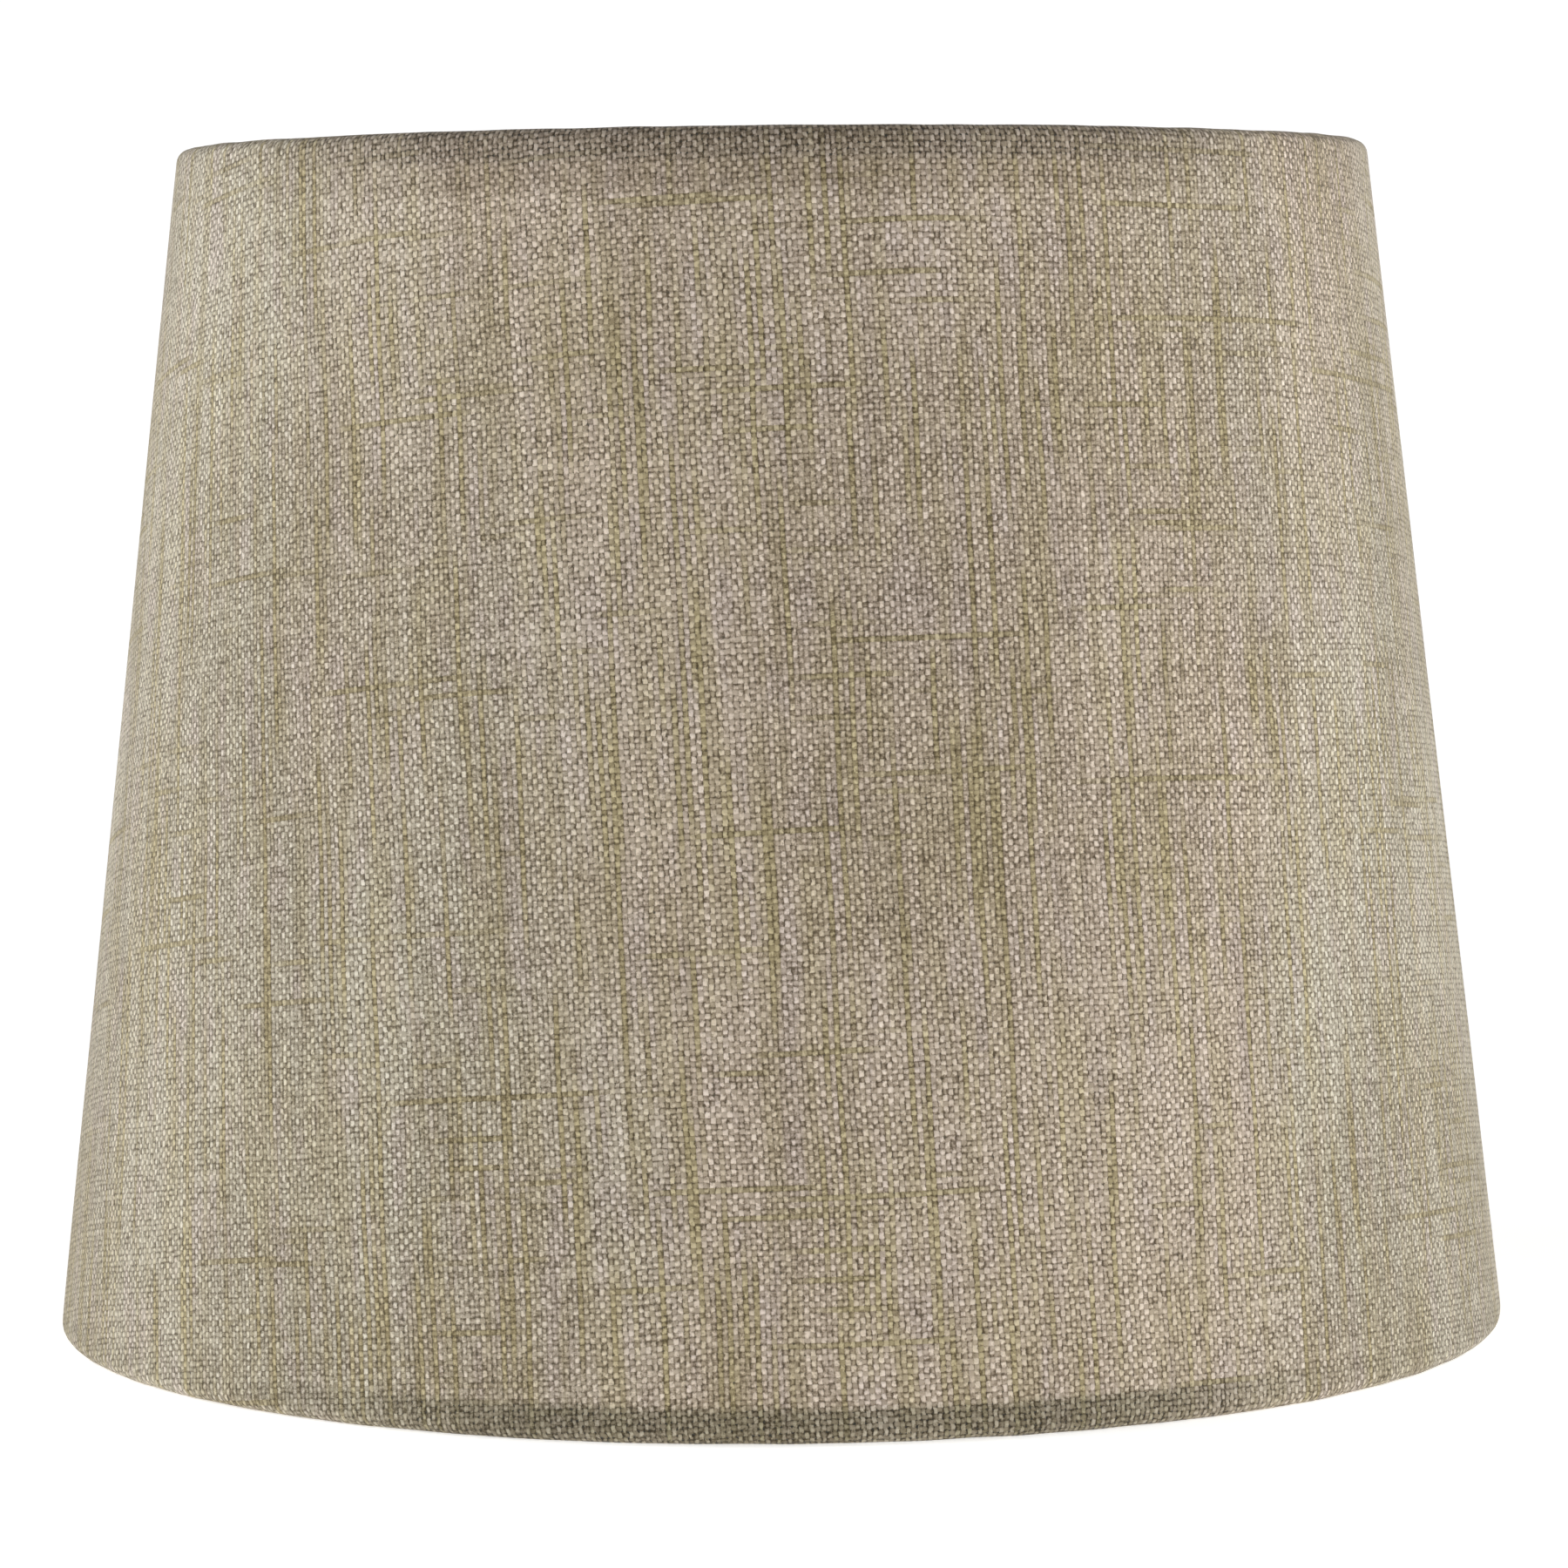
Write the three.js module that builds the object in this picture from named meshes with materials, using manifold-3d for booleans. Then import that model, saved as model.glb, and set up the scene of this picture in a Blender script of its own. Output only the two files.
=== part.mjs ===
// Lamp shade: a tapered drum of linen-look cloth laminated to a white styrene liner. The cloth
// is rolled over a wire ring at each end and hemmed inside, the panel closes with a taped lap
// seam at the back, and a three-arm spider with a fitter washer hangs inside the top ring.
// Millimetres, +Z up. The origin is the centre of the bottom rim's plane, and -Y is the front.

import * as THREE from 'three';
import { mergeVertices } from 'three/addons/utils/BufferGeometryUtils.js';
import Module from 'manifold-3d';

// Overall size, measured outside to outside
const TOP_DIAMETER = 228.6;
const BOTTOM_DIAMETER = 279.4;
const SLANT_HEIGHT = 228.6;

// Gaps: between glued plies, and between parts that touch
const PLY_GAP = 0.1;
const FIT_GAP = 0.3;

// Sheet stock
const FABRIC_THICKNESS = 0.4;
const LINER_THICKNESS = 0.4;
const TAPE_THICKNESS = 0.15;

// Rings, and the rolled edges round them
const RING_WIRE_DIAMETER = 3.2;
const RIM_LAND = 1.6; // flat on the outermost line of each rolled edge
const HEM_DEPTH = 12; // ring centre to the hem's cut edge, along the wall
const HEM_TUCK_ANGLE = THREE.MathUtils.degToRad(40); // how far the hem wraps on behind the ring
const LINER_INSET = 0.5; // ring centre to the liner's edge, along the wall

// Lap seam
const SEAM_ANGLE = THREE.MathUtils.degToRad(110); // round from +X, where the under ply ends
const LAP_WIDTH = 12;
const RAMP_WIDTH = 12; // stretch over which the outer ply climbs onto the lap
const HEM_CLIP = 1; // the under ply's rolled edges are clipped back this far past the lap
const UNDER_PLY_INSET = 1.5; // the under ply stops this short of each ring
const UNDER_PLY_SKIVE = 0.05; // the under ply is pared down by this on each face

// Spider fitter
const SPOKE_COUNT = 3;
const SPOKE_DIAMETER = 3;
const FIRST_SPOKE_ANGLE = THREE.MathUtils.degToRad(30);
const SPOKE_SHOULDER = 6; // level stretch inside the ring, before the spoke turns down
const SPOKE_BEND = 4; // from each corner to where its bend begins
const FITTER_RECESS = 12.7; // top rim down to the washer's upper face
const WASHER_DIAMETER = 28;
const WASHER_HOLE_DIAMETER = 11.1;
const WASHER_THICKNESS = 2;
const WASHER_CHAMFER = 0.4;
const SPOKE_UNDER_WASHER = 5;
const WELD_LEG = 2;
const WELD_WIDTH = 2.6;
const NOTCH_CLEARANCE = 0.4; // hem cloth to the spoke that passes through it

// Facets
const WRAP_STEPS = 58;
const RING_STEPS = 60;
const WIRE_SIDES = 8;
const ROD_SIDES = 10;
const BEND_STEPS = 3;
const WASHER_STEPS = 36;

// Section of the wall, from each ring's centre outwards
const ringToLiner = RING_WIRE_DIAMETER / 2 + FIT_GAP;
const ringToFabric = ringToLiner + LINER_THICKNESS + PLY_GAP;
const rollRadius = ringToFabric + FABRIC_THICKNESS;
const ringToHem = ringToLiner - PLY_GAP;

const height = Math.sqrt(SLANT_HEIGHT ** 2 - ((BOTTOM_DIAMETER - TOP_DIAMETER) / 2) ** 2);
const topRing = new THREE.Vector2(TOP_DIAMETER / 2 - rollRadius, height - rollRadius);
const bottomRing = new THREE.Vector2(BOTTOM_DIAMETER / 2 - rollRadius, rollRadius);
const wallUp = topRing.clone().sub(bottomRing).normalize();
const wallOut = new THREE.Vector2(wallUp.y, -wallUp.x);

// The outer ply of the lap rides over the under ply's liner, cloth and tape
const lapStack = LINER_THICKNESS + FABRIC_THICKNESS + TAPE_THICKNESS + 3 * PLY_GAP;
const lapAngle = LAP_WIDTH / (BOTTOM_DIAMETER / 2);
const rampAngle = RAMP_WIDTH / (BOTTOM_DIAMETER / 2);
const clipAngle = HEM_CLIP / (BOTTOM_DIAMETER / 2);
const rampTop = SEAM_ANGLE + 2 * Math.PI;
const rampFoot = rampTop - rampAngle;

const washerTop = height - FITTER_RECESS;
const washerBottom = washerTop - WASHER_THICKNESS;
const spokeLevel = washerBottom - FIT_GAP - SPOKE_DIAMETER / 2;
const spokeInnerEnd = WASHER_DIAMETER / 2 - SPOKE_UNDER_WASHER;
const spokeOuterEnd = topRing.x - RING_WIRE_DIAMETER / 2 - FIT_GAP;

const wasm = await Module();
wasm.setup();

const linen = { color: 0x9c8f76, roughness: 0.9, metalness: 0 };
const styrene = { color: 0xf0eee6, roughness: 0.45, metalness: 0 };
const tapeFilm = { color: 0xe6dfc4, roughness: 0.3, metalness: 0 };
const platedSteel = { color: 0xb9b7b0, roughness: 0.35, metalness: 1 };
const weldSteel = { color: 0x7c7a75, roughness: 0.6, metalness: 1 };

// ---------------------------------------------------------------- geometry helpers

/** Shares the vertices of a geometry that meet, so that it is one closed surface. */
function sewn(geometry) {
  geometry.deleteAttribute('normal');
  geometry.deleteAttribute('uv');
  return mergeVertices(geometry, 1e-4);
}

function toSolid(geometry) {
  const vertProperties = Float32Array.from(geometry.attributes.position.array);
  const triVerts = Uint32Array.from(geometry.index.array);
  return new wasm.Manifold(new wasm.Mesh({ numProp: 3, vertProperties, triVerts }));
}

function toGeometry(solid) {
  const { vertProperties, triVerts } = solid.getMesh();
  const geometry = new THREE.BufferGeometry();
  geometry.setAttribute('position', new THREE.BufferAttribute(vertProperties, 3));
  geometry.setIndex(new THREE.BufferAttribute(triVerts, 1));
  return geometry;
}

/** A point of the section, with the way the sheet's outer face looks from it. */
function station(point, normal, rides = 0) {
  return { point, normal: normal.clone().normalize(), rides };
}

/**
 * A flat sheet bent round the axis. Its section follows the stations, bottom first, and it is
 * swept through the angles. `lift` raises the stations that ride over the lap.
 */
function bentSheet(stations, angles, { thickness, offset = 0, lift = () => 0 }) {
  const alongCount = stations.length - 1;
  const roundCount = angles.length - 1;
  const geometry = new THREE.BoxGeometry(1, 1, 1, alongCount, 1, roundCount);
  const position = geometry.attributes.position;
  for (let i = 0; i < position.count; i += 1) {
    const { point, normal, rides } = stations[Math.round((position.getX(i) + 0.5) * alongCount)];
    const angle = angles[Math.round((position.getZ(i) + 0.5) * roundCount)];
    const face = position.getY(i) > 0 ? thickness : 0;
    const reach = offset + rides * lift(angle) + face;
    const radius = point.x + normal.x * reach;
    position.setXYZ(i, radius * Math.cos(angle), radius * Math.sin(angle), point.y + normal.y * reach);
  }
  return sewn(geometry);
}

/** A round rod along a line of points in the XZ plane. */
function bentRod(points, diameter) {
  const last = points.length - 1;
  const geometry = new THREE.CylinderGeometry(diameter / 2, diameter / 2, 1, ROD_SIDES, last);
  const position = geometry.attributes.position;
  for (let i = 0; i < position.count; i += 1) {
    const at = Math.round((position.getY(i) + 0.5) * last);
    const before = points[at].clone().sub(points[Math.max(at - 1, 0)]).normalize();
    const after = points[Math.min(at + 1, last)].clone().sub(points[at]).normalize();
    const run = before.add(after).normalize();
    const across = position.getZ(i);
    position.setXYZ(i, points[at].x + run.y * across, position.getX(i), points[at].y - run.x * across);
  }
  return sewn(geometry);
}

/** The corners joined by straight runs, with each inner corner eased into a bend. */
function easedLine(corners, bend) {
  const line = [corners[0]];
  for (let i = 1; i < corners.length - 1; i += 1) {
    const start = corners[i].clone().add(corners[i - 1].clone().sub(corners[i]).setLength(bend));
    const end = corners[i].clone().add(corners[i + 1].clone().sub(corners[i]).setLength(bend));
    line.push(...new THREE.QuadraticBezierCurve(start, corners[i], end).getPoints(BEND_STEPS));
  }
  line.push(corners[corners.length - 1]);
  return line;
}

function mesh(name, geometry, finish) {
  const part = new THREE.Mesh(geometry, new THREE.MeshStandardMaterial(finish));
  part.name = name;
  return part;
}

// ---------------------------------------------------------------- wall section

/** A place in the section, measured from a ring's centre: out of the wall, and into the panel. */
function fromRing(ring, out, inward) {
  const away = ring === topRing ? 1 : -1;
  return ring.clone().addScaledVector(wallOut, out).addScaledVector(wallUp, -away * inward);
}

/** Stations of one rolled edge, from the hem's cut edge round the ring to the outer wall. */
function rolledEdge(ring) {
  const away = ring === topRing ? 1 : -1;
  const heading = (angle) => wallOut.clone().multiplyScalar(Math.cos(angle))
    .addScaledVector(wallUp, away * Math.sin(angle));
  const onRoll = (angle, rides) => {
    const normal = heading(angle);
    return station(ring.clone().addScaledVector(normal, ringToFabric), normal, rides);
  };
  const onLand = (side) => {
    const point = new THREE.Vector2(ring.x + (side * RIM_LAND) / 2, ring.y + away * ringToFabric);
    return station(point, new THREE.Vector2(0, away));
  };

  const leaveAngle = Math.PI + HEM_TUCK_ANGLE;
  const tuckRun = (ringToHem + ringToFabric * Math.cos(HEM_TUCK_ANGLE)) / Math.sin(HEM_TUCK_ANGLE);
  const tuckDepth = ringToFabric * Math.sin(HEM_TUCK_ANGLE) + tuckRun * Math.cos(HEM_TUCK_ANGLE);
  const wallIn = wallOut.clone().negate();
  return [
    station(fromRing(ring, ringToHem, HEM_DEPTH), wallIn),
    station(fromRing(ring, ringToHem, tuckDepth), wallIn.clone().add(heading(leaveAngle))),
    onRoll(leaveAngle),
    onRoll(Math.PI),
    onRoll((Math.PI * 3) / 4),
    onLand(-1),
    onLand(1),
    onRoll(Math.PI / 4),
    onRoll(0, 1),
  ];
}

/** Angles round the panel: the lap's under ply, the clip, the single ply, the ramp and the lap. */
function wrapAngles() {
  const lapEnd = SEAM_ANGLE + lapAngle;
  const angles = [SEAM_ANGLE, lapEnd];
  for (let i = 0; i <= WRAP_STEPS; i += 1) {
    angles.push(THREE.MathUtils.lerp(lapEnd + clipAngle, rampFoot, i / WRAP_STEPS));
  }
  angles.push(rampTop, rampTop + lapAngle);
  return angles;
}

function lapLift(angle) {
  return lapStack * THREE.MathUtils.clamp((angle - rampFoot) / rampAngle, 0, 1);
}

// ---------------------------------------------------------------- soft parts

/** The window that lets a spoke through the top hem, open at the hem's cut edge. */
function hemNotch(angle) {
  const halfWidth = Math.max(SPOKE_DIAMETER, WELD_WIDTH) / 2 + NOTCH_CLEARANCE;
  const outside = ringToLiner - PLY_GAP / 2;
  const inside = -ringToFabric - rollRadius;
  const lintel = topRing.y + SPOKE_DIAMETER / 2 + NOTCH_CLEARANCE;
  const outline = [
    new THREE.Vector2(topRing.x + inside, lintel),
    new THREE.Vector2(topRing.x, lintel),
    fromRing(topRing, outside, ringToLiner),
    fromRing(topRing, outside, HEM_DEPTH + FIT_GAP),
    fromRing(topRing, inside, HEM_DEPTH + FIT_GAP),
  ];
  const geometry = new THREE.ExtrudeGeometry(new THREE.Shape(outline), {
    depth: 2 * halfWidth,
    bevelEnabled: false,
  });
  geometry.translate(0, 0, -halfWidth);
  geometry.rotateX(Math.PI / 2);
  geometry.rotateZ(angle);
  return toSolid(sewn(geometry));
}

/** The cloth: wall, both rolled edges and hems, and the pared under ply of the lap. */
function fabricCover() {
  const angles = wrapAngles();
  const wrapped = [...rolledEdge(bottomRing), ...rolledEdge(topRing).reverse()];
  const panel = bentSheet(wrapped, angles.slice(2), { thickness: FABRIC_THICKNESS, lift: lapLift });
  const underPly = [
    station(fromRing(bottomRing, ringToFabric, UNDER_PLY_INSET), wallOut),
    station(fromRing(topRing, ringToFabric, UNDER_PLY_INSET), wallOut),
  ];
  const tongue = bentSheet(underPly, angles.slice(0, 4), {
    offset: UNDER_PLY_SKIVE,
    thickness: FABRIC_THICKNESS - 2 * UNDER_PLY_SKIVE,
  });
  let solid = toSolid(panel).add(toSolid(tongue));
  for (const angle of spokeAngles()) {
    solid = solid.subtract(hemNotch(angle));
  }
  return mesh('fabric_cover', toGeometry(solid), linen);
}

function styreneLiner() {
  const edges = [
    station(fromRing(bottomRing, ringToLiner, LINER_INSET), wallOut, 1),
    station(fromRing(topRing, ringToLiner, LINER_INSET), wallOut, 1),
  ];
  const sheet = bentSheet(edges, wrapAngles(), { thickness: LINER_THICKNESS, lift: lapLift });
  return mesh('styrene_liner', sheet, styrene);
}

/** Double-sided tape between the lap's under ply and the liner of its outer ply. */
function seamTape() {
  const out = ringToFabric + FABRIC_THICKNESS + PLY_GAP;
  const edges = [
    station(fromRing(bottomRing, out, UNDER_PLY_INSET), wallOut),
    station(fromRing(topRing, out, UNDER_PLY_INSET), wallOut),
  ];
  const strip = bentSheet(edges, wrapAngles().slice(0, 2), { thickness: TAPE_THICKNESS });
  return mesh('seam_tape', strip, tapeFilm);
}

// ---------------------------------------------------------------- wire frame

function wireRing(name, ring) {
  const geometry = new THREE.TorusGeometry(ring.x, RING_WIRE_DIAMETER / 2, WIRE_SIDES, RING_STEPS);
  geometry.translate(0, 0, ring.y);
  return mesh(name, sewn(geometry), platedSteel);
}

function spokeAngles() {
  return Array.from({ length: SPOKE_COUNT }, (_, i) => FIRST_SPOKE_ANGLE + (i * 2 * Math.PI) / SPOKE_COUNT);
}

/** One arm: out from under the washer, up to the ring's level, and level to the ring. */
function spokeGeometry() {
  const shoulder = spokeOuterEnd - SPOKE_SHOULDER;
  const rise = topRing.y - spokeLevel;
  const corners = [
    new THREE.Vector2(spokeInnerEnd, spokeLevel),
    new THREE.Vector2(shoulder - rise, spokeLevel),
    new THREE.Vector2(shoulder, topRing.y),
    new THREE.Vector2(spokeOuterEnd, topRing.y),
  ];
  return bentRod(easedLine(corners, SPOKE_BEND), SPOKE_DIAMETER);
}

/** A weld fillet with its square corner at (x, z), reaching inwards or outwards, up or down. */
function weldGeometry(x, z, outward, upward) {
  const outline = new THREE.Shape();
  outline.moveTo(0, 0);
  outline.lineTo(outward * WELD_LEG, 0);
  outline.quadraticCurveTo(outward * WELD_LEG * 0.4, upward * WELD_LEG * 0.4, 0, upward * WELD_LEG);
  outline.closePath();
  const geometry = new THREE.ExtrudeGeometry(outline, {
    depth: WELD_WIDTH,
    bevelEnabled: false,
    curveSegments: BEND_STEPS,
  });
  geometry.translate(0, 0, -WELD_WIDTH / 2);
  geometry.rotateX(Math.PI / 2);
  geometry.translate(x, 0, z);
  return sewn(geometry);
}

/** A spoke with the weld under its ring end and the weld over its washer end. */
function spokeArm(number, angle) {
  const arm = new THREE.Group();
  arm.rotation.z = angle;
  const toWeld = SPOKE_DIAMETER / 2 + FIT_GAP; // from a spoke's centre line
  const underRing = Math.sqrt(Math.max(ringToLiner ** 2 - toWeld ** 2, 0));
  const ringWeld = weldGeometry(topRing.x - underRing, topRing.y - toWeld, -1, -1);
  const washerWeld = weldGeometry(WASHER_DIAMETER / 2 + FIT_GAP, spokeLevel + toWeld, 1, 1);
  arm.add(
    mesh(`spoke_${number}`, spokeGeometry(), platedSteel),
    mesh(`ring_weld_${number}`, ringWeld, weldSteel),
    mesh(`washer_weld_${number}`, washerWeld, weldSteel),
  );
  return arm;
}

/** Flat washer that sits on the harp, with the hole that its stud passes through. */
function fitterWasher() {
  const inner = WASHER_HOLE_DIAMETER / 2;
  const outer = WASHER_DIAMETER / 2;
  const outline = [
    [inner, washerBottom + WASHER_CHAMFER],
    [inner + WASHER_CHAMFER, washerBottom],
    [outer - WASHER_CHAMFER, washerBottom],
    [outer, washerBottom + WASHER_CHAMFER],
    [outer, washerTop - WASHER_CHAMFER],
    [outer - WASHER_CHAMFER, washerTop],
    [inner + WASHER_CHAMFER, washerTop],
    [inner, washerTop - WASHER_CHAMFER],
    [inner, washerBottom + WASHER_CHAMFER],
  ];
  const profile = outline.map(([radius, level]) => new THREE.Vector2(radius, level));
  const geometry = new THREE.LatheGeometry(profile, WASHER_STEPS);
  geometry.rotateX(Math.PI / 2);
  return mesh('fitter_washer', sewn(geometry), platedSteel);
}

const shade = new THREE.Group();
shade.add(
  fabricCover(),
  styreneLiner(),
  seamTape(),
  wireRing('top_ring', topRing),
  wireRing('bottom_ring', bottomRing),
  fitterWasher(),
  ...spokeAngles().map((angle, i) => spokeArm(i + 1, angle)),
);

export default shade;
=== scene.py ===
"""Looks of the lamp shade: linen cloth over a styrene liner, rolled edges, lap seam and spider.

Metres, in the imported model's frame: +Z up, the front at -Y, the bottom rim's plane at z = 0.
"""
import math

import bmesh
import bpy
import numpy as np
from mathutils import Matrix, Vector, noise


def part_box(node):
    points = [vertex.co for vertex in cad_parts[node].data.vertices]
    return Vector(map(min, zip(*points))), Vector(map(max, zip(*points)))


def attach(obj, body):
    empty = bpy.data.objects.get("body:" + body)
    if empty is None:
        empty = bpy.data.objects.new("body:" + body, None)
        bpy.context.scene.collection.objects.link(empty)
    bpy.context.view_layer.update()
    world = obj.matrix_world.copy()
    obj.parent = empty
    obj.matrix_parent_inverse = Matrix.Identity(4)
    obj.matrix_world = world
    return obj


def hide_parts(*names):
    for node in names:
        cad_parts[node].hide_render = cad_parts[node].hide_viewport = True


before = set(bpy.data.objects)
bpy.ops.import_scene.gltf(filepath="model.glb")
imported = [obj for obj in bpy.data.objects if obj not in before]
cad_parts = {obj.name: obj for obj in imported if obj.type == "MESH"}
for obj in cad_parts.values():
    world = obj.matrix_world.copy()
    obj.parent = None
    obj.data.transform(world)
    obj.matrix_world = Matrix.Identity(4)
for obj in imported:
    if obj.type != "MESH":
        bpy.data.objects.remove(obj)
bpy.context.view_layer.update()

# Sheet stock, as in the model
FABRIC_THICKNESS = 0.0004
LINER_THICKNESS = 0.0004
TAPE_THICKNESS = 0.00015
PLY_GAP = 0.0001
FIT_GAP = 0.0003

# Rolled edges, hems and the lap seam, as in the model
HEM_DEPTH = 0.012
HEM_TUCK_ANGLE = math.radians(40)
LINER_INSET = 0.0005
SEAM_ANGLE = math.radians(110)
LAP_WIDTH = 0.012
RAMP_WIDTH = 0.012
UNDER_PLY_INSET = 0.0015

# Cover, finer shapes
LIFT_FADE = math.radians(50)  # the lap's lift dies out this far round each roll
LAP_CLIP = 0.00015  # the outer hems start this far round from the under ply's end

# Spider, as in the model
SPOKE_COUNT = 3
FIRST_SPOKE_ANGLE = math.radians(30)
SPOKE_DIAMETER = 0.003
SPOKE_SHOULDER = 0.006
SPOKE_BEND = 0.004
SPOKE_UNDER_WASHER = 0.005
WASHER_HOLE_RADIUS = 0.00555
WELD_WIDTH = 0.0026
NOTCH_CLEARANCE = 0.0004

# Spider, finer shapes
SPOKE_FLATTENING = 0.22  # how much wider a spoke is pressed where it meets the washer
FLATTENING_RUN = 0.004
TIP_ROUNDING = 0.0008
TIP_SHARE = 0.55  # of the spoke's radius, at its inner tip
WASHER_BURR = 0.0002
WASHER_OUTER_ROLL = 0.0006
WASHER_HOLE_ROLL = 0.0005
WASHER_DISH = 0.00005
DISH_MARGINS = (0.0012, 0.003)  # from the hole, and from the outer edge
RING_BEAD = (0.0016, 0.0014, 0.0009)  # half sizes: along the spoke, across it, and up
WASHER_BEAD = (0.0016, 0.0015, 0.0010)
RING_BEAD_SINK = 0.0004
BEAD_OFFSET = 0.0002
BEAD_LUMPS = (0.22, 0.05)  # coarse and fine, as shares of its size

# Mesh fineness
ROUND_STEPS = 470
WALL_STEPS = 26
ROLL_STEPS = 18
HEM_STEPS = 5
TUCK_STEPS = 4
RING_STEPS = 240
WIRE_SIDES = 20
WASHER_SIDES = 144
WASHER_ROLL_STEPS = 6
WASHER_HOLE_STEPS = 4
SPOKE_TIP_STEPS = 40
STRIP_STEPS = 12
UNDER_PLY_STATIONS = 5
RAMP_STATIONS = 10
OUTER_PLY_STATIONS = 7
TAPE_STATIONS = 9

# Small unevenness of the cloth: size across and height
RIPPLE_SIZE = 0.045
RIPPLE_HEIGHT = 0.00010
PUCKER_SIZE = 0.009
PUCKER_HEIGHT = 0.00012
PUCKER_REACH = 0.005  # in from each ring

# Cloth
WARP_PITCH = 0.00096
WEFT_PITCH = 0.00101
PATTERN_MIDDLE = math.radians(-68)  # where the threads stand upright, round from +X
# Green taupe round the sides and pink taupe across the front: the change between them is a painted stand-in
# for the sides' sheen
GREEN_TAUPE = (0.705, 0.645, 0.52)
PINK_TAUPE = (0.735, 0.62, 0.50)
OLIVE = (0.565, 0.48, 0.275)
SLUB_OLIVE = (0.53, 0.45, 0.26)
MAUVE_GREY = (0.705, 0.60, 0.545)
# Rim band colours: partly the cloth with no liner behind it, partly painted shade
TOP_RIM_TINT = (0.60, 0.53, 0.46)
BOTTOM_RIM_TINT = (0.54, 0.53, 0.40)
MAUVE_SHARE = 0.5
OLIVE_SHARE = 0.42
STREAK_SHARE = 0.88
SLUB_SHARE = 0.8
# Painted shade seen through the holes between threads: the shadowed liner on the wall, deeper shade on the
# rims
WALL_GAP = (0.15, 0.13, 0.095)
RIM_GAP = (0.055, 0.052, 0.042)
THREAD_WIDTH = (0.74, 1.26)  # of the pitch
THREAD_ROUNDING = 0.28
THREAD_WAVE = (0.56, 0.32)  # rise over the crossings, in open weave and in ribs
THREAD_TONE = (0.86, 1.14)
BARE_THINNING = 0.18
BUMP_HEIGHT = 0.00020
# Painted shade, as factors on the cloth's colour: on crossings where a weft lies on top, in the grooves
# between threads, on the wall below the top roll, round the rolls, and on the rims (bottom, top)
WEFT_DIMMING = 0.64
GROOVE_DIMMING = (0.50, 0.72)  # painted shade in the grooves: between warps, between wefts
HEM_DIMMING = 0.80
ROLL_DIMMING = 0.62
RIM_DIMMING = (0.66, 0.90)  # bottom, top
BARE_MARGIN = (0.0022, 0.0044)  # the liner's whiteness starts to show, and the painted rim shade fades out, this far in from each ring
HEM_SHADOW_END = (0.0070, 0.0105)
BAND_HALF_WIDTH = (50, 115)  # warps each side of the front over which the painted dark rims fade
FRONT_WARP = -50
PINK_WARP = -15
PINK_HALF_WIDTH = (60, 125)  # warps from there over which pink gives way to green
HALFWAY_WEFT = -1100  # wefts are counted down from the apex of the fan the cloth is cut as

# Camera, fitted to the perspective of the photograph
CAMERA_DISTANCE = 1.139
CAMERA_ASIDE = -0.0148
CAMERA_HEIGHT = 0.1875
CAMERA_LENS_MM = 134.9
CAMERA_PITCH = math.radians(4.19)
CAMERA_YAW = math.radians(-0.81)
CAMERA_ROLL = math.radians(-0.49)

# Floor and light
FLOOR_RADIUS = 2.5
FLOOR_SIDES = 96
FLOOR_GLOW = (0.63, 1.0)  # near the shade, and far off where the soft boxes reach less
GLOW_RISE = (0.5, 2.0)  # from the middle of the floor
WORLD_LIGHT = 0.10
WORLD_SEEN = 1.05
SOFT_BOXES = (
    # name, degrees round from straight ahead of the shade (+ is to the right), height, watts
    ("left_box", -90, 0.7, 8.2),
    ("right_box", 90, 0.7, 6.3),
    ("fill_box", 30, 0.3, 2.4),
)
SOFT_BOX_DISTANCE = 1.15
SOFT_BOX_SIZE = 0.8
SOFT_BOX_AIM = Vector((0, 0, 0.1))


# ---------------------------------------------------------------- section of the wall

def ring_section(node):
    """Radius and height of a wire ring's centre line, and the wire's own radius."""
    low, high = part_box(node)
    wire = (high[2] - low[2]) / 2
    return np.array([high[0] - wire, (high[2] + low[2]) / 2]), wire


top_ring, ring_wire = ring_section("top_ring")
bottom_ring, _ = ring_section("bottom_ring")
ring_to_liner = ring_wire + FIT_GAP
ring_to_fabric = ring_to_liner + LINER_THICKNESS + PLY_GAP
ring_to_hem = ring_to_liner - PLY_GAP
roll_radius = ring_to_fabric + FABRIC_THICKNESS

wall_length = float(np.linalg.norm(top_ring - bottom_ring))
wall_up = (top_ring - bottom_ring) / wall_length
wall_out = np.array([wall_up[1], -wall_up[0]])
cone_sine = -float(wall_up[0])

rim_radius = bottom_ring[0] + roll_radius
lap_angle = LAP_WIDTH / rim_radius
ramp_angle = RAMP_WIDTH / rim_radius
clip_angle = LAP_CLIP / rim_radius
lap_end = SEAM_ANGLE + lap_angle
ramp_top = SEAM_ANGLE + 2 * math.pi
lap_stack = LINER_THICKNESS + FABRIC_THICKNESS + TAPE_THICKNESS + 3 * PLY_GAP


def from_ring(ring, out, inward):
    """A place in the section, from a ring's centre: out of the wall, and into the panel."""
    away = 1 if ring is top_ring else -1
    return ring + wall_out * out - wall_up * away * inward


def lap_lift(angles):
    """How far the outer ply has climbed onto the lap."""
    climb = np.clip((angles - ramp_top + ramp_angle) / ramp_angle, 0, 1)
    return lap_stack * climb * climb * (3 - 2 * climb)


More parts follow.
